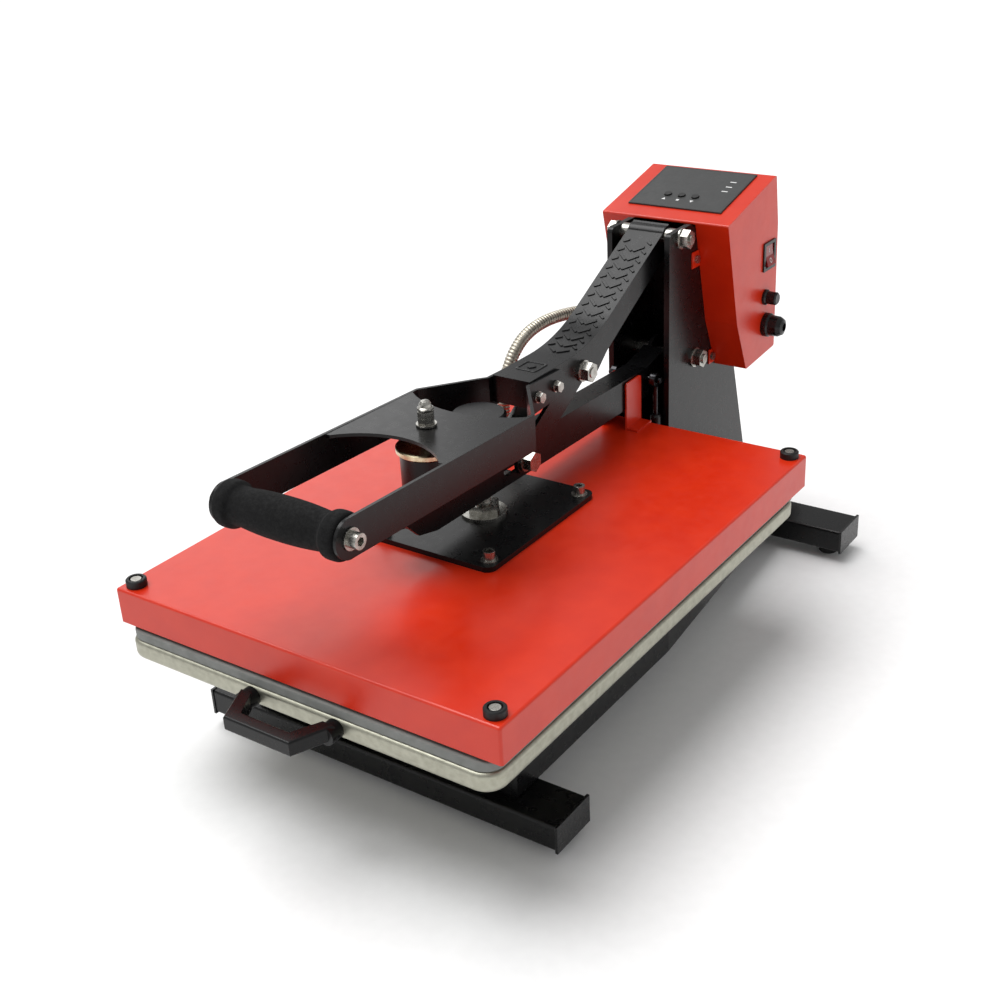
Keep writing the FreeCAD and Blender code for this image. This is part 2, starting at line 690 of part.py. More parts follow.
keep("press_arm", press_arm())
keep("spindle_nut", ring("z", 11, d.spindle_radius + d.fit_gap, (212, 249), (0, d.press_y)))
keep("electromagnet", turned("z", (0, d.magnet_y), [
    (0, d.magnet_low), (d.magnet_radius - 1, d.magnet_low), (d.magnet_radius, d.magnet_low + 1),
    (d.magnet_radius, d.magnet_high - 1), (d.magnet_radius - 1, d.magnet_high),
    (0, d.magnet_high)]))
keep("strut_top_pin", rod("x", 3, (-30.5, 30.5), strut_pin_axis))

# --- Heating head -----------------------------------------------------------------------------

press_centre = (0, d.press_y)
cover_low = d.cover_top - d.cover_high
heater_low = d.platen_low + d.platen_thick + d.pad_thick + 0.5
CORNER = (187, 251.5)
MOUNT_BOLT = (57, 73)


def four(spot):
    """The four places of a rectangle centred on the press axis."""
    return [(sx * spot[0], d.press_y + sy * spot[1]) for sx in (1, -1) for sy in (1, -1)]


def around(half_x, half_y, z):
    """A block centred on the press axis."""
    return box((-as_size(half_x), half_x), (d.press_y - half_y, d.press_y + half_y), z)


def head_cover():
    """A folded red tray, upside down, with rounded folds."""
    half_x, half_y, wall = d.cover_wide / 2, d.cover_deep / 2, d.cover_sheet
    outer = bevel(around(half_x, half_y, (cover_low, d.cover_top)), 2.5,
                  lambda edge: upright(edge) or edge.BoundBox.ZMin > 180)
    hollow = around(half_x - wall, half_y - wall, (cover_low - 5, d.cover_top - wall))
    holes = [rod("z", 3.3, (150, 200), spot) for spot in four(CORNER) + four(MOUNT_BOLT)]
    return cut(outer, hollow, *holes)


def cap_bolt(centre, face):
    """A socket cap bolt, standing, with a washer below its head."""
    head = socket_head("z", (face + 1.5, face + 9.5), 5.3, centre, 1)
    return [fuse(head, rod("z", 3, (183.7, face + 2), centre)),
            ring("z", 7.5, 3.2, (face, face + 1.5), centre)]


def corner_screw(centre):
    """A pan-head screw that clamps a corner spacer."""
    return fuse(rod("z", 4.6, (189, 191.4), centre), rod("z", 3, (183.7, 190), centre))


def guide_tab(side):
    """A red plate that stands on the cover beside the arm and keeps the head from turning."""
    inner = DRIVING["arm_half"] + 0.8
    web = box(span_x(side, inner, inner + 2), (153, 183), (185, 236))
    return fuse(bevel(web, 3, lambda edge: crosswise(edge) and edge.BoundBox.ZMin > 230),
                box(span_x(side, inner, inner + 14), (153, 183), (185, 187)))


keep("head_cover", head_cover())
keep("insulation_pad", around(d.heater_half_x, d.heater_half_y,
                              (heater_low + d.heater_thick, d.cover_top - d.cover_sheet - 0.1)))
keep("heating_plate", bevel(around(d.heater_half_x, d.heater_half_y,
                                   (heater_low, heater_low + d.heater_thick)), 8, upright))
keep("mount_plate", cut(bevel(around(d.mount_half_x, d.mount_half_y,
                                     (d.cover_top, d.cover_top + d.mount_thick)), 9, upright),
                        *[rod("z", 3.3, (180, 200), spot) for spot in four(MOUNT_BOLT)]))
keep("head_bolts", group(*[piece for spot in four(MOUNT_BOLT) for piece in cap_bolt(spot, 190)],
                         *[corner_screw(spot) for spot in four(CORNER)]))
keep("corner_caps", group(*[turned("z", spot, [(3.2, 185), (9, 185), (9, 191), (8, 192), (6, 192),
                                               (5.5, 189), (3.2, 189)]) for spot in four(CORNER)]))
keep("guide_tabs", group(*mirrored(guide_tab)))
keep("thrust_collar", fuse(ring("z", 21.5, 7.1, (190, 192.5), press_centre),
                           cut(hexagon("z", 26, (192.5, 200.5), press_centre),
                               rod("z", 7.1, (190, 205), press_centre))))

# --- Pressure spindle -------------------------------------------------------------------------

keep("spindle", rod("z", d.spindle_radius, (190.3, 285), press_centre))
keep("pressure_knob", turned("z", press_centre, [
    (d.spindle_radius, 252), (14, 252), (14, 266), (d.knob_radius - 1.5, 268),
    (d.knob_radius, 270), (d.knob_radius, 287), (d.knob_radius - 2, 289), (0, 289), (0, 285),
    (d.spindle_radius, 285)]))

# --- Drawer -----------------------------------------------------------------------------------

platen_top = d.platen_low + d.platen_thick
RAIL_FRONT, RAIL_BACK = -262, 150


def lower_platen():
    plate = box((-d.platen_half, d.platen_half), (d.platen_front, d.platen_back),
                (d.platen_low, platen_top))
    eased = bevel(bevel(plate, 19, upright), 4, lambda edge: edge.BoundBox.ZMin > 139)
    return bevel(eased, 6, lambda edge: edge.BoundBox.ZMax < 122)


def channel_rail(side, back, mouth, low, high, wall):
    """A rail of C section: its web is at back, its lips reach towards mouth."""
    near, far = sorted((back, mouth))
    inner = (near + wall, far) if back < mouth else (near, far - wall)
    outer = box(span_x(side, near, far), (RAIL_FRONT, RAIL_BACK), (low, high))
    groove_span = (inner[0], inner[1] + 1) if back < mouth else (inner[0] - 1, inner[1])
    groove = box(span_x(side, *groove_span), (RAIL_FRONT - 1, RAIL_BACK + 1),
                 (low + wall, high - wall))
    return cut(outer, groove)


def outer_rail(side):
    """The fixed rail, welded to an angle that stands on the side member."""
    return fuse(channel_rail(side, 125.4, 114.2, 66, 111, 1.5),
                box(span_x(side, 125.4, 128.4), (RAIL_FRONT + 12, RAIL_BACK), (63, 111)),
                box(span_x(side, 125.4, 143), (RAIL_FRONT + 12, 2), (63, 66)))


def drawer_carriage():
    """A steel tray below the platen, with a flange down each side for the inner rails."""
    top = box((-112.7, 112.7), (RAIL_FRONT, RAIL_BACK), (117, d.platen_low))
    flanges = [box(span_x(side, 109.7, 112.7), (RAIL_FRONT, RAIL_BACK), (76, 118))
               for side in (1, -1)]
    return fuse(top, *flanges)


def drawer_handle():
    """A cast pull: a bar with splayed arms that end in round feet on the platen's front edge."""
    front = -391.5
    plan = [(-50, -356), (-34.5, front), (34.5, front), (50, -356), (38, -356), (26, front + 12),
            (-26, front + 12), (-38, -356)]
    bow = bevel(slab("z", (126.5, 140), plan), 2, lambda edge: edge.Length > 30)
    feet = [rod("y", 8.5, (-362, d.platen_front), (x, 131.5)) for x in (44, -44)]
    return fuse(bow, *feet)


keep("outer_rails", group(*mirrored(outer_rail)))
keep("middle_rails", group(*mirrored(lambda side: channel_rail(side, 123.2, 115.2, 69, 108, 1.5))))
keep("inner_rails", group(*mirrored(lambda side: channel_rail(side, 112.7, 120.5, 76, 101, 1.5))))
keep("drawer_carriage", drawer_carriage())
keep("lower_platen", lower_platen())
keep("silicone_pad", bevel(box((-(d.platen_half - 2), d.platen_half - 2),
                               (d.platen_front + 2, d.platen_back - 2),
                               (platen_top, platen_top + d.pad_thick)), 17, upright))
keep("drawer_handle", drawer_handle())

# --- Gas struts -------------------------------------------------------------------------------

strut_foot = (d.strut_low_y, d.strut_low_z)


def strut_barrel(side):
    """The cylinder of a gas strut, with an eye round the base pin."""
    centre = (d.strut_x * side, value_of(d.strut_low_y) - 1)
    bore = rod("z", 3.1, (105, 200), centre)
    eye = rod("x", 6, span_x(side, 20.5, 26.5), strut_foot)
    barrel = turned("z", centre, [(0, 86), (3.2, 86), (3.2, 89.5), (6, 93), (6, 186), (5, 188),
                                  (0, 188)])
    return cut(fuse(barrel, eye), bore, rod("x", 3.05, (-40, 40), strut_foot))


def strut_rod(side):
    """The rod of a gas strut, with a flat eye round the arm's cross pin."""
    centre = (d.strut_x * side, value_of(d.strut_low_y) - 1)
    eye = rod("x", 7.6, span_x(side, 20.5, 26.5), strut_pin_axis)
    shaft = rod("z", 3, (118, 222), centre)
    return cut(fuse(shaft, eye), rod("x", 4.6, (-40, 40), strut_pin_axis))


def strut_base(side):
    """Two lugs and a pin on the tower's base plate."""
    lugs = [box(span_x(side, near, near + 3), (193.5, 205.5), (69, 88)) for near in (17, 27)]
    return fuse(*lugs, rod("x", 3, span_x(side, 17, 31), strut_foot))


keep("strut_base_pins", group(*mirrored(strut_base)))
keep("strut_barrels", group(*mirrored(strut_barrel)))
keep("strut_rods", group(*mirrored(strut_rod)))

# --- Conduit ----------------------------------------------------------------------------------


def bent_tube(route, radius):
    """Straight runs joined by tangent arcs, each as large as its two runs allow."""
    points = [FreeCAD.Vector(*spot) for spot in route]
    pieces = []
    start = points[0]
    for before, here, after in zip(points, points[1:], points[2:]):
        run_in, run_out = (before - here), (after - here)
        half_turn = (radians(180) - run_in.getAngle(run_out)) / 2
        reach = 0.45 * min(run_in.Length, run_out.Length)
        toward_in = FreeCAD.Vector(run_in).normalize()
        toward_out = FreeCAD.Vector(run_out).normalize()
        arc_start, arc_end = here + toward_in * reach, here + toward_out * reach
        bend = reach / tan(half_turn)
        middle_line = (toward_in + toward_out).normalize()
        arc_middle = here + middle_line * (bend / cos(half_turn) - bend)
        pieces.append(Part.LineSegment(start, arc_start).toShape())
        pieces.append(Part.Arc(arc_start, arc_middle, arc_end).toShape())
        start = arc_end
        print(f"conduit bend radius {bend:.1f}")
    pieces.append(Part.LineSegment(start, points[-1]).toShape())
    path = Part.Wire(pieces)
    heading = points[1] - points[0]
    ring_edge = Part.makeCircle(radius, points[0], heading)
    solid = path.makePipeShell([Part.Wire([ring_edge])], True, True)
    print(f"conduit volume ratio {solid.Volume / (pi * radius ** 2 * path.Length):.4f}")
    print(f"conduit length {path.Length:.1f}")
    tube = doc.addObject("Part::Feature", "tube")
    tube.Shape = solid
    return tube


keep("conduit", bent_tube(CONDUIT_ROUTE, sheet.get("conduit_radius")))
cover_end = (CONDUIT_ROUTE[0][0], CONDUIT_ROUTE[0][1])
keep("conduit_cover_fitting", fuse(ring("z", 11, 6.9, (185, 203), cover_end),
                                   cut(hexagon("z", 26, (185, 191), cover_end),
                                       rod("z", 6.9, (180, 195), cover_end))))
keep("conduit_box_fitting", ring("y", 10, 6.9, (278.2, 290), (conduit_end[0], conduit_end[2])))

# --- Checks and export ------------------------------------------------------------------------

doc.recompute()
for thing in doc.Objects:
    if "Invalid" in thing.State or "Error" in thing.State:
        raise RuntimeError(f"{thing.Name} ({thing.Label}) failed: {thing.State}")
os.makedirs("parts", exist_ok=True)
for piece in subparts:
    if piece.Shape.isNull() or not piece.Shape.isValid():
        raise RuntimeError(f"{piece.Label} has no valid shape")
    piece.Shape.exportStep(f"parts/{piece.Label}.step")
print(f"{len(subparts)} sub-parts")
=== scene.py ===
"""Looks of a clamshell heat press: finishes, printed marks, tread, foam, thread, conduit, studio."""
import json
import random
from math import ceil, cos, hypot, pi, radians, sin

import bpy
from mathutils import Matrix, Vector


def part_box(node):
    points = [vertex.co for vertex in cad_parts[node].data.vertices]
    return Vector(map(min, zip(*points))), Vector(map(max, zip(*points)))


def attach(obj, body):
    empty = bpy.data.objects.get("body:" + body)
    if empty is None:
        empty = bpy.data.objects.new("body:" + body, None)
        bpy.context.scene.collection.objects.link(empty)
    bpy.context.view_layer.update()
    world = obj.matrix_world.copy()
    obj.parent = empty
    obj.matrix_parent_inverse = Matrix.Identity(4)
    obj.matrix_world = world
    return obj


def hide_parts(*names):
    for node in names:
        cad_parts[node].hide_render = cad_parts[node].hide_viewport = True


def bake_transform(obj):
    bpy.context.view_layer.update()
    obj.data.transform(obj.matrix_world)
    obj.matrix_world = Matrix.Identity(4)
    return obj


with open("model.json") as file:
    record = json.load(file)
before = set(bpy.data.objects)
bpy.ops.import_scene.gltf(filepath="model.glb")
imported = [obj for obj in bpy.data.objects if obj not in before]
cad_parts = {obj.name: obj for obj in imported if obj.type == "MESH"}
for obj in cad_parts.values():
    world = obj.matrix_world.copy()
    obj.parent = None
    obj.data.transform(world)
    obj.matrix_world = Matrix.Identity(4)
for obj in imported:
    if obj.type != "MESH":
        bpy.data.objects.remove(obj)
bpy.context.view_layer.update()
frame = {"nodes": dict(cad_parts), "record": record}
MM = 0.001

# --- Camera and studio ------------------------------------------------------------------------

CAMERA_PLACE = (0.6849, -0.9980, 0.7644)
CAMERA_TURN = {"azimuth": 35.99, "elevation": 26.19, "roll": -3.09}
LENS = 50.43
SOFTBOXES = {
    # name: (place, size in metres, watts)
    "front": ((-1.3, -2.1, 1.6), 1.2, 3),
    "sheen": ((-2.5, 1.7, 1.75), 2.0, 15),
    "side": ((2.4, 0.5, 1.0), 1.2, 3.5),
}
SKY_STRENGTH, SUN_STRENGTH, SUN_ANGLE, SUN_FROM = 0.45, 2.8, 45, (-0.35, -0.05, 1)


def make_camera():
    """The camera, turned about its own line of sight by a small roll."""
    azimuth, elevation, roll = (radians(CAMERA_TURN[k]) for k in ("azimuth", "elevation", "roll"))
    ahead = Vector((-sin(azimuth) * cos(elevation), cos(azimuth) * cos(elevation),
                    -sin(elevation)))
    right = Vector((cos(azimuth), sin(azimuth), 0))
    up = right.cross(ahead)
    right, up = right * cos(roll) + up * sin(roll), up * cos(roll) - right * sin(roll)
    data = bpy.data.cameras.new("camera")
    data.lens = LENS
    camera = bpy.data.objects.new("camera", data)
    camera.matrix_world = Matrix.Translation(CAMERA_PLACE) @ Matrix(
        (right, up, -ahead)).transposed().to_4x4()
    bpy.context.collection.objects.link(camera)
    bpy.context.scene.camera = camera


def make_lights():
    """Three softboxes, a broad ceiling and a white room."""
    aim = Vector((0, 0, 0.15))
    for name, (place, size, watts) in SOFTBOXES.items():
        data = bpy.data.lights.new(name, "AREA")
        data.size, data.energy = size, watts
        lamp = bpy.data.objects.new(name, data)
        lamp.location = place
        lamp.rotation_euler = (aim - Vector(place)).to_track_quat("-Z", "Y").to_euler()
        bpy.context.collection.objects.link(lamp)
    data = bpy.data.lights.new("ceiling", "SUN")
    data.energy, data.angle = SUN_STRENGTH, radians(SUN_ANGLE)
    ceiling = bpy.data.objects.new("ceiling", data)
    ceiling.rotation_euler = (-Vector(SUN_FROM)).to_track_quat("-Z", "Y").to_euler()
    bpy.context.collection.objects.link(ceiling)
    world = bpy.data.worlds.new("studio")
    world.use_nodes = True
    world.node_tree.nodes["Background"].inputs["Color"].default_value = (1, 1, 1, 1)
    world.node_tree.nodes["Background"].inputs["Strength"].default_value = SKY_STRENGTH
    bpy.context.scene.world = world
    bpy.context.scene.view_settings.view_transform = "Standard"


# --- Finishes ---------------------------------------------------------------------------------


class Finish:
    """A node material that varies over the surface in colour, roughness and relief."""

    def __init__(self, name, **sockets):
        self.data = bpy.data.materials.new(name)
        self.data.use_nodes = True
        self.tree = self.data.node_tree
        self.shader = self.tree.nodes["Principled BSDF"]
        self.place = self.node("ShaderNodeTexCoord").outputs["Object"]
        for socket, value in sockets.items():
            self.shader.inputs[socket.replace("_", " ")].default_value = value

    def node(self, kind, **inputs):
        made = self.tree.nodes.new(kind)
        for socket, value in inputs.items():
            if isinstance(value, bpy.types.NodeSocket):
                self.tree.links.new(value, made.inputs[socket.replace("_", " ")])
            else:
                made.inputs[socket.replace("_", " ")].default_value = value
        return made

    def noise(self, size, detail=3.0, stretch=(1, 1, 1)):
        """Noise whose features are about this many millimetres across."""
        spot = self.node("ShaderNodeMapping", Vector=self.place, Scale=stretch).outputs["Vector"]
        return self.node("ShaderNodeTexNoise", Vector=spot, Scale=1000 / size,
                         Detail=detail).outputs["Fac"]

    def cells(self, size):
        """Round cells about this many millimetres across."""
        return self.node("ShaderNodeTexVoronoi", Vector=self.place,
                         Scale=1000 / size).outputs["Distance"]

    def spread(self, source, low, high):
        """Maps the middle of a noise to a range."""
        made = self.node("ShaderNodeMapRange", Value=source)
        for socket, value in zip(("From Min", "From Max", "To Min", "To Max"),
                                 (0.3, 0.7, low, high)):
            made.inputs[socket].default_value = value
        return made.outputs["Result"]

    def colour(self, source, first, second):
        """Base colour between two linear colours, by a noise."""
        ramp = self.node("ShaderNodeValToRGB", Fac=source)
        ends = ramp.color_ramp.elements
        ends[0].position, ends[1].position = 0.32, 0.68
        ends[0].color, ends[1].color = (*first, 1), (*second, 1)
        self.tree.links.new(ramp.outputs["Color"], self.shader.inputs["Base Color"])
        return self

    def roughness(self, source, low, high):
        """Roughness between two values, by a noise."""
        self.tree.links.new(self.spread(source, low, high), self.shader.inputs["Roughness"])
        return self

    def relief(self, layers, edge=0.35):
        """Bumps, each (source, depth in mm), over edges softened by a small radius in mm."""
        normal = self.node("ShaderNodeBevel", Radius=edge * MM).outputs["Normal"]
        for source, depth in layers:
            bump = self.node("ShaderNodeBump", Height=source, Normal=normal, Strength=1.0,
                             Distance=depth * MM)
            normal = bump.outputs["Normal"]
        self.tree.links.new(normal, self.shader.inputs["Normal"])
        return self


def powder_coat(name, dark, light, low, high, grain, depth, gloss=0.5):
    """Powder coat: fine orange peel, faint mottling and uneven gloss."""
    finish = Finish(name, Specular_IOR_Level=gloss)
    return finish.colour(finish.noise(26, 4), dark, light).roughness(
        finish.noise(9, 5), low, high).relief([(finish.noise(grain, 1), depth),
                                               (finish.noise(grain * 5, 1), depth * 2)])


def metal(name, dark, light, low, high, stretch=(1, 1, 1), scratch=0.01):
    """Plated or machined metal with fine lay marks."""
    finish = Finish(name, Metallic=1.0)
    lay = finish.noise(0.9, 3, stretch)
    return finish.colour(finish.noise(6, 4), dark, light).roughness(lay, low, high).relief(
        [(lay, scratch)], edge=0.3)


def moulded(name, dark, light, low, high, grain=0.6, depth=0.02, **sockets):
    """Moulded plastic, rubber or film with a fine texture."""
    finish = Finish(name, **sockets)
    return finish.colour(finish.noise(12, 3), dark, light).roughness(
        finish.noise(4, 3), low, high).relief([(finish.noise(grain, 2), depth)])


def sponge(name, dark, light, cell, depth, **sockets):
    """Foam or felt: open cells, each pit painted darker as painted shade."""
    finish = Finish(name, **sockets)
    cells = finish.cells(cell)
    # Colour and relief share the cells: the darker colour lands in the cell pits, painted shade.
    return finish.colour(cells, dark, light).roughness(finish.noise(3, 2), 0.78, 0.95).relief(
        [(cells, depth), (finish.noise(6, 4), depth)])


def board(name):
    """Green solder mask with lighter copper tracks."""
    finish = Finish(name, Specular_IOR_Level=0.6)
    tracks = finish.noise(5, 0, (1, 1, 6))
    return finish.colour(tracks, (0.004, 0.05, 0.02), (0.02, 0.16, 0.06)).roughness(
        finish.noise(4), 0.25, 0.4).relief([(tracks, 0.04)])


FINISHES = {
    "red_paint": powder_coat("red_paint", (0.580, 0.019, 0.002), (0.625, 0.025, 0.003), 0.28, 0.35,
                             1.5, 0.012),
    "black_paint": powder_coat("black_paint", (0.0028, 0.0028, 0.0031), (0.0040, 0.0040, 0.0044),
                               0.26, 0.31, 1.2, 0.003, gloss=0.27),
    "zinc_steel": metal("zinc_steel", (0.30, 0.29, 0.26), (0.48, 0.47, 0.44), 0.20, 0.34),
    "black_nitride": metal("black_nitride", (0.03, 0.03, 0.032), (0.06, 0.06, 0.064), 0.2, 0.3),
    "yellow_zinc": metal("yellow_zinc", (0.50, 0.41, 0.25), (0.74, 0.66, 0.46), 0.24, 0.40),
    "cast_aluminium": metal("cast_aluminium", (0.35, 0.345, 0.28), (0.43, 0.425, 0.35), 0.36, 0.52,
                            (0.12, 0.12, 2.0), 0.02),
    "silicone": moulded("silicone", (0.17, 0.175, 0.165), (0.215, 0.22, 0.21), 0.75, 0.9, 0.8,
                        0.04),
    # The sponge finishes paint their darker colour into the cell pits, as painted shade.
    "foam": sponge("foam", (0.0025, 0.0025, 0.0027), (0.0065, 0.0065, 0.0068), 0.8, 0.16,
                   Specular_IOR_Level=0.22),
    "black_rubber": moulded("black_rubber", (0.004, 0.004, 0.0045), (0.008, 0.008, 0.008), 0.42,
                            0.6, Specular_IOR_Level=0.35),
    "black_plastic": moulded("black_plastic", (0.003, 0.003, 0.0034), (0.006, 0.006, 0.0065),
                             0.22, 0.36, Specular_IOR_Level=0.4),
    "overlay": moulded("overlay", (0.024, 0.025, 0.025), (0.031, 0.032, 0.032), 0.42, 0.52, 0.35,
                       0.012),
    "key_plastic": moulded("key_plastic", (0.003, 0.003, 0.003), (0.005, 0.005, 0.005), 0.3, 0.45),
    "red_plastic": moulded("red_plastic", (0.20, 0.002, 0.003), (0.27, 0.004, 0.004), 0.10, 0.2,
                           2, 0.004, Specular_IOR_Level=0.45, Coat_Weight=0.3,
                           Coat_Roughness=0.08),
    "insulation": sponge("insulation", (0.60, 0.56, 0.44), (0.80, 0.76, 0.66), 2.2, 0.5),
    "circuit_board": board("circuit_board"),
    "transformer": moulded("transformer", (0.03, 0.03, 0.035), (0.07, 0.07, 0.08), 0.3, 0.5, 1.5,
                           0.08),
    "conduit_metal": metal("conduit_metal", (0.36, 0.33, 0.27), (0.52, 0.49, 0.42), 0.36, 0.5),
    "white_print": moulded("white_print", (0.66, 0.66, 0.66), (0.76, 0.76, 0.76), 0.5, 0.6),
    "floor": moulded("floor", (0.86, 0.86, 0.86), (0.88, 0.88, 0.88), 0.7, 0.8, 3, 0.01,
                     Specular_IOR_Level=0.2),
}

# --- Mesh helpers -----------------------------------------------------------------------------


def piece(name, points, faces, finish, slot=None, body=None, sharp=35):
    """A mesh object from points in millimetres; it rides on a body if one is given."""
    data = bpy.data.meshes.new(name)
    data.from_pydata([Vector(p) * MM for p in points], [], faces)
    data.materials.append(FINISHES[finish].data)
    data.shade_smooth()
    data.set_sharp_from_angle(angle=radians(sharp))
    thing = bpy.data.objects.new(name, data)
    bpy.context.collection.objects.link(thing)
    if body:
        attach(thing, body)
    return thing


def skin(rows, closed_ends=True, wrap=True):
    """Faces over rows of points of equal length, each row a loop."""
    points = [p for row in rows for p in row]
    size = len(rows[0])
    faces = []
    for n in range(len(rows) - 1):
        for k in range(size if wrap else size - 1):
            a, b = n * size + k, n * size + (k + 1) % size
            faces.append((a, b, b + size, a + size))
    if closed_ends:
        faces.append(tuple(reversed(range(size))))
        faces.append(tuple(range(len(points) - size, len(points))))
    return points, faces


def many(parts):
    """One point list and one face list from several (points, faces) pairs."""
    points, faces = [], []
    for some, some_faces in parts:
        start = len(points)
        points += some
        faces += [tuple(n + start for n in face) for face in some_faces]
    return points, faces


def plate(outline, low, high, to_world, edge=0.0):
    """A flat raised shape: an outline in (u, v), between two heights, its top edge chamfered."""
    middle = Vector((sum(u for u, v in outline), sum(v for u, v in outline))) / len(outline)

    def shrink(spot):
        away = Vector(spot) - middle
        return middle + away * max(0.0, 1 - edge / max(away.length, 1e-6))

    rows = [[to_world(u, v, low) for u, v in outline],
            [to_world(u, v, high - edge) for u, v in outline]]
    if edge:
        rows.append([to_world(*shrink(spot), high) for spot in outline])
    return skin(rows)


def rounded(half_u, half_v, radius, steps=10):
    """The outline of a rectangle with round corners."""
    outline = []
    for quarter, (su, sv) in enumerate(((1, 1), (-1, 1), (-1, -1), (1, -1))):
        for n in range(steps + 1):
            turn = (quarter + n / steps) * pi / 2
            outline.append((su * (half_u - radius) + radius * cos(turn),
                            sv * (half_v - radius) + radius * sin(turn)))
    return outline


def soft_slab(half, middle, span, radius, edge, swell=0.0, steps=5):
    """A padded sheet: a rounded rectangle with a rounded rim; swell adds a seeded unevenness."""
    chance = random.Random(7)
    low, high = span
    rings = [(edge * (1 - sin(t)), low + edge * (1 - cos(t)))
             for t in (n / steps * pi / 2 for n in range(steps + 1))]
    rings += [(edge * (1 - cos(t)), high - edge * (1 - sin(t)))
              for t in (n / steps * pi / 2 for n in range(steps + 1))]
    rows = []
    for inset, z in rings:
        outline = rounded(half[0] - inset, half[1] - inset, max(radius - inset, 1))
        rows.append([(u + middle[0] - chance.random() * swell * (1 if u > 0 else -1),
                      v + middle[1], z) for u, v in outline])
    return skin(rows)


def frames_along(line):
    """A pair of sideways directions for each point of a line, carried along without twist."""
    side = Vector((1, 0, 0))
    for n, here in enumerate(line):
        ahead = (line[min(n + 1, len(line) - 1)] - line[max(n - 1, 0)]).normalized()
        side = (side - ahead * side.dot(ahead)).normalized()
        yield here, side, ahead.cross(side)


def tube(line, radius_at, around=24):
    """A tube along a line: radius_at takes the distance along it and the angle."""
    rows, gone = [], 0.0
    for n, (here, side, other) in enumerate(frames_along(line)):
        gone += (here - line[n - 1]).length if n else 0.0
        row = []
        for k in range(around):
            turn = 2 * pi * k / around
            radius = radius_at(gone, turn)
            row.append(here + (side * cos(turn) + other * sin(turn)) * radius)
        rows.append(row)
    return skin(rows)


def evenly(line, step):
    """The same line with points at an even distance."""
    lengths = [0.0]
    for a, b in zip(line, line[1:]):
        lengths.append(lengths[-1] + (b - a).length)
    count = ceil(lengths[-1] / step)
    spots, n = [], 0
    for k in range(count + 1):
        want = lengths[-1] * k / count
        while n < len(line) - 2 and lengths[n + 1] < want:
            n += 1
        share = (want - lengths[n]) / (lengths[n + 1] - lengths[n])
        spots.append(line[n].lerp(line[n + 1], share))
    return spots


def straight(start, end, step):
    """A straight line of even points."""
    return evenly([Vector(start), Vector(end)], step)


def centre_of(node):
    """The middle of a node's box, in millimetres."""
    low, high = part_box(node)
    return (low + high) / 2 / MM


# --- Lever tread ------------------------------------------------------------------------------

TREAD_FRONT, TREAD_LEVEL = -25.0, 302.3
TREAD_ROWS, TREAD_START, TREAD_PITCH = 13, 76, 13.2
BADGE_ALONG, BADGE_SUNK = 31, -0.3
BEND_START, BEND_RADIUS, BEND_TURN = 32.9, 180.0, radians(27.18)


def lever_top(x, along, above):
    """A point over the lever's top, by the distance along it from its front edge."""
    level = BEND_START - TREAD_FRONT
    if along < level:
        y, z, turn = TREAD_FRONT + along, TREAD_LEVEL, 0.0
    else:
        turn = min((along - level) / BEND_RADIUS, BEND_TURN)
        y = BEND_START + BEND_RADIUS * sin(turn)
        z = TREAD_LEVEL + BEND_RADIUS * (1 - cos(turn))
        rest = along - level - BEND_RADIUS * turn
        y, z = y + rest * cos(turn), z + rest * sin(turn)
    return Vector((x, y - above * sin(turn), z + above * cos(turn)))


def tread_bar(middle, along, turn, long, wide):
    """One raised bar of the tread, turned in the plane of the top."""
    outline = []
    for u, v in rounded(long / 2, wide / 2, wide * 0.35, steps=3):
        outline.append((middle + u * cos(turn) - v * sin(turn),
                        along + u * sin(turn) + v * cos(turn)))
    return plate(outline, -0.3, 1.0, lever_top, edge=0.4)


def make_tread():
    """Rows of slanted bars up the lever, and a plain framed diamond on its flat front."""
    bars = []
    for row in range(TREAD_ROWS):
        along = TREAD_START + row * TREAD_PITCH
        for side in (1, -1):
            bars.append(tread_bar(side * 5.8, along, side * radians(40), 13, 3.0))
            bars.append(tread_bar(side * 13, along + 9.8, side * radians(-35), 7.5, 2.8))
    band = []
    for half, above in ((11.5, BADGE_SUNK), (11.5, 0.35), (11, 0.7), (9.9, 0.7), (9.4, 0.35),
                        (9.4, BADGE_SUNK)):
        band.append([lever_top(u, BADGE_ALONG + v, above)
                     for u, v in rounded(half, half, 3, 5)])
    bars.append(skin(band, closed_ends=False))
    bars.append(tread_bar(0, BADGE_ALONG, radians(45), 8.5, 8.5))
    piece("lever_tread", *many(bars), "black_paint", "black_paint", "lever")


# --- Console and rocker marks -----------------------------------------------------------------

SLOPE_FOOT, SLOPE_TURN = (258.5, 379.0), (112 / hypot(112, 27), 27 / hypot(112, 27))
KEYS = {"up": -20.0, "set": -4.0, "down": 12.0}
MARK_SHAPES = {"up": [(-2.3, -1.8), (2.3, -1.8), (0, 2.3)],
               "set": [(-1.6, -1.6), (1.6, -1.6), (1.6, 1.6), (-1.6, 1.6)],
               "down": [(-2.3, 1.8), (0, -2.3), (2.3, 1.8)]}
KEY_MARKS_ALONG, DASHES_ALONG, DASHES_X = 38, (66, 76, 87), 37
OVERLAY_TOP, OVERLAY_MIDDLE, RIM_TOP = 1.5, 65.5, 1.72
PRINT_LOW, PRINT_HIGH = 1.55, 1.68


def on_console(x, along, above):
    """A point over the sloping console, by the distance up the slope from its foot."""
    return Vector((x, SLOPE_FOOT[0] + SLOPE_TURN[0] * along - SLOPE_TURN[1] * above,
                   SLOPE_FOOT[1] + SLOPE_TURN[1] * along + SLOPE_TURN[0] * above))


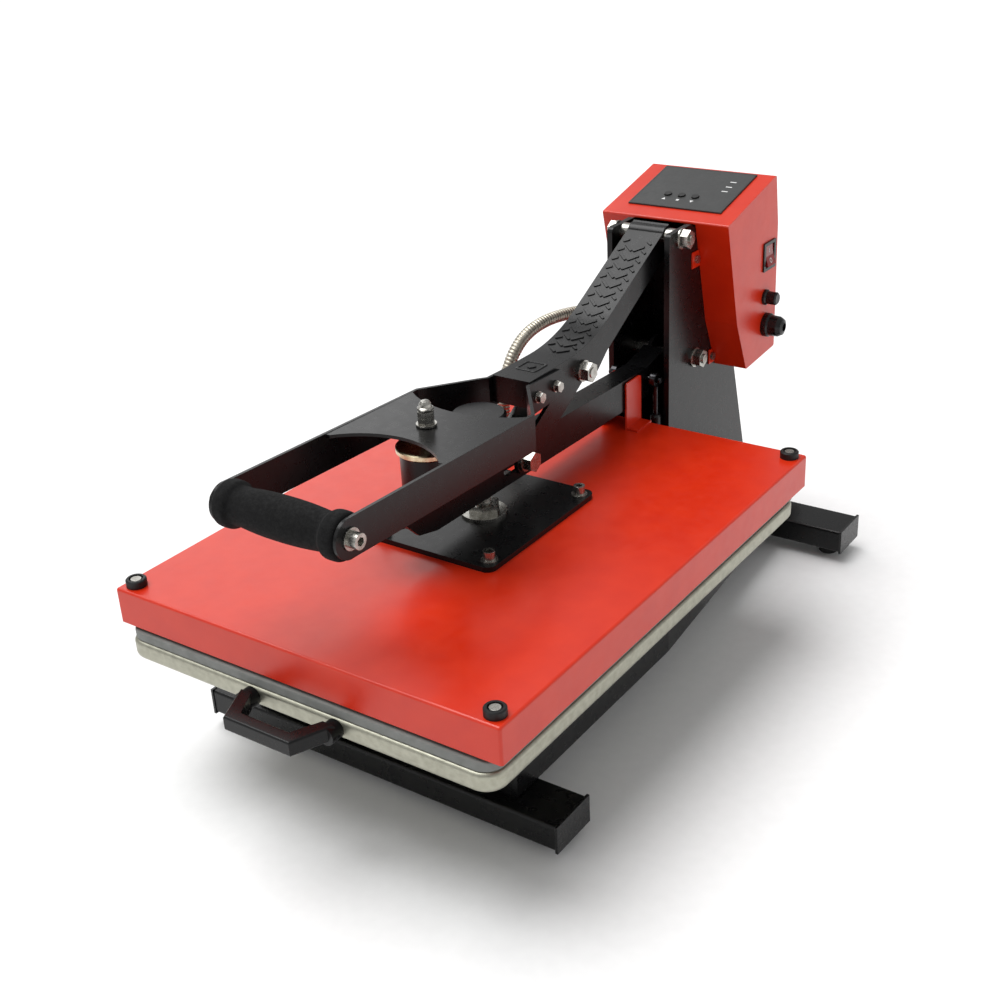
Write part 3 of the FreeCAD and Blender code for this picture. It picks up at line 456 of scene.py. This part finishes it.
def make_console_marks():
    """White signs under the keys, three dashes, and the raised rim of the overlay."""
    marks = []
    for name, x in KEYS.items():
        outline = [(x + u, KEY_MARKS_ALONG + v) for u, v in MARK_SHAPES[name]]
        marks.append(plate(outline, PRINT_LOW, PRINT_HIGH, on_console))
    for along in DASHES_ALONG:
        outline = [(DASHES_X + u, along + v) for u, v in rounded(3.6, 0.8, 0.5, 3)]
        marks.append(plate(outline, PRINT_LOW, PRINT_HIGH, on_console))
    piece("console_marks", *many(marks), "white_print", "overlay", "base")
    outer = rounded(53.4, 42.9, 2.5, 4)
    inner = rounded(52.4, 41.9, 1.8, 4)
    rows = [[on_console(u, OVERLAY_MIDDLE + v, above) for u, v in ring]
            for ring, above in ((outer, OVERLAY_TOP), (outer, RIM_TOP), (inner, RIM_TOP),
                                (inner, OVERLAY_TOP))]
    piece("console_rim", *skin(rows, closed_ends=False), "overlay", "overlay", "base")


def make_rocker_marks():
    """The bar and the ring that stand for on and off."""

    def lower(u, v, above):
        return Vector((76.2 + above - v * 0.346, 357.5 + u, 317.8 + v))

    def upper(u, v, above):
        return Vector((74.1 + above - v * 0.054, 357.5 + u, 328.6 + v))

    ring = []
    steps, sunk, raised = 24, -0.1, 0.06
    for radius, above in ((2.5, sunk), (2.5, raised), (1.8, raised), (1.8, sunk)):
        ring.append([lower(radius * cos(2 * pi * n / steps), radius * sin(2 * pi * n / steps),
                           above) for n in range(steps)])
    bar = plate(rounded(0.45, 2.4, 0.3, 3), sunk, raised, upper)
    piece("rocker_marks", *many([skin(ring, closed_ends=False), bar]), "white_print",
          "red_plastic", "switch_rocker")


# --- Foam grip, pads, thread and conduit -----------------------------------------------------

CONDUIT_ROUTE = [(-80, 69.5, 189), (-80, 69.5, 216), (-80, 72, 243), (-79, 84, 269),
                 (-78, 108, 287), (-75, 141, 293), (-70, 176, 291), (-63, 212, 285),
                 (-57, 246, 280), (-55, 269, 279), (-55, 290, 279)]


def make_grip():
    """A foam sleeve with a full collar at each end and a slightly uneven skin."""
    middle = centre_of("grip_foam")
    half, bore, uneven, around = 60.6, 9, 0.12, 72
    profile = [(8.2, -half), (16.4, -half), (18.4, -half + 0.7), (19.4, -half + 2.4),
               (19.5, -55), (19.5, -50), (19.0, -48.4), (17.6, -46.6), (16.2, -45.2), (15.7, -43),
               (16.0, -38), (17.0, -28), (17.75, -16), (18.0, 0)]
    profile += [(radius, -x) for radius, x in reversed(profile[:-1])]
    chance = random.Random(3)
    rows = []
    for radius, x in profile:
        row = []
        for k in range(around):
            turn = 2 * pi * k / around
            bulge = radius - uneven * chance.random() if radius > bore else radius
            row.append((middle.x + x, middle.y + bulge * cos(turn), middle.z + bulge * sin(turn)))
        rows.append(row)
    points, faces = skin(rows, closed_ends=False)
    foam = piece("foam_grip", points, faces, "foam", "foam", "lever", sharp=50)
    smooth = foam.modifiers.new("soft", "SUBSURF")
    smooth.levels = smooth.render_levels = 1
    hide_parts("grip_foam")


def make_pads():
    """The silicone pad on the platen and the glass-wool pad inside the cover."""
    for name, node, finish, body, radius, edge, swell in (
            ("sponge_pad", "silicone_pad", "silicone", "drawer", 17, 1.6, 0.0),
            ("wool_pad", "insulation_pad", "insulation", "head", 12, 4.0, 0.5)):
        low, high = (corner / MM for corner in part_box(node))
        half = ((high.x - low.x) / 2, (high.y - low.y) / 2)
        middle = ((high.x + low.x) / 2, (high.y + low.y) / 2)
        pad = piece(name, *soft_slab(half, middle, (low.z, high.z), radius, edge, swell), finish,
                    finish, body)
        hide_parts(node)


def make_spindle():
    """The pressure screw with its real thread."""
    low, high = (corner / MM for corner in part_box("spindle"))
    middle = centre_of("spindle")
    major, pitch, depth = 7.0, 2.0, 0.9

    def radius_at(gone, turn):
        wave = abs(((gone / pitch - turn / (2 * pi)) % 1) * 2 - 1)
        return major - depth * min(max(wave * 1.4 - 0.2, 0), 1)

    line = straight((middle.x, middle.y, low.z), (middle.x, middle.y, high.z), pitch / 8)
    screw = piece("pressure_screw", *tube(line, radius_at, 32), "zinc_steel", "zinc_steel",
                  "pressure_knob")
    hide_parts("spindle")


def make_conduit():
    """The flexible steel conduit, wound in a helix, from the cover to the control box."""
    data = bpy.data.curves.new("conduit_line", "CURVE")
    data.dimensions = "3D"
    data.resolution_u = 16
    spline = data.splines.new("NURBS")
    spline.points.add(len(CONDUIT_ROUTE) - 1)
    for point, spot in zip(spline.points, CONDUIT_ROUTE):
        point.co = (*(Vector(spot) * MM), 1)
    spline.order_u = 3
    spline.use_endpoint_u = True
    guide = bpy.data.objects.new("conduit_line", data)
    bpy.context.collection.objects.link(guide)
    bpy.context.view_layer.update()
    line = [v.co / MM for v in bpy.data.meshes.new_from_object(guide).vertices]
    bpy.data.objects.remove(guide)
    line = evenly(line, 0.45)
    outside, pitch, groove = 6.5, 3.6, 0.65

    def radius_at(gone, turn):
        wave = 0.5 + 0.5 * cos(2 * pi * (gone / pitch + turn / (2 * pi)))
        return outside - groove * wave ** 2

    flex = piece("conduit_spiral", *tube(line, radius_at, 28), "conduit_metal", "conduit_metal",
                 sharp=60)
    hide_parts("conduit")
    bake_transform(flex)


# --- Welds ------------------------------------------------------------------------------------


def weld(start, end, size, seed):
    """A rippled weld bead between two points."""
    chance = random.Random(seed)
    shift = chance.random()

    def radius_at(gone, turn):
        return size * (0.86 + 0.14 * abs(sin(pi * (gone / 2.3 + shift))))

    return tube(straight(start, end, 0.5), radius_at, 12)


def make_welds():
    """Beads where the cheeks stand on the base plate and where the members cross the beams."""
    cheek_low, cheek_high = (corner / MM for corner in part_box("tower_plates"))
    beam_top = 38.6
    beads = []
    for n, side in enumerate((1, -1)):
        for k, y in enumerate((cheek_low.y + 12, cheek_low.y + 72, cheek_low.y + 132)):
            x, z = side * (cheek_high.x + 0.4), cheek_low.z + 0.6
            beads.append(weld((x, y, z), (x, y + 30, z), 2.2, 10 * n + k))
        for k, (inner, outer, y) in enumerate(((107, 143, -218.3), (80, 108, 311.3))):
            beads.append(weld((side * inner, y, beam_top), (side * outer, y, beam_top), 1.8,
                              40 + 10 * n + k))
    piece("weld_beads", *many(beads), "black_paint", "black_paint", "base")


# --- Scene ------------------------------------------------------------------------------------


def make_floor():
    """A plain pale floor."""
    size = 14000
    floor = piece("floor", [(-size, -size, 0), (size, -size, 0), (size, size, 0),
                            (-size, size, 0)], [(0, 1, 2, 3)], "floor")


for row in frame["record"]["subparts"]:
    mesh = frame["nodes"][row["node"]].data
    mesh.materials.clear()
    mesh.materials.append(FINISHES[row["material_slot"]].data)

make_camera()
make_conduit()
make_lights()
make_floor()
make_tread()
make_console_marks()
make_rocker_marks()
make_grip()
make_pads()
make_spindle()
make_welds()
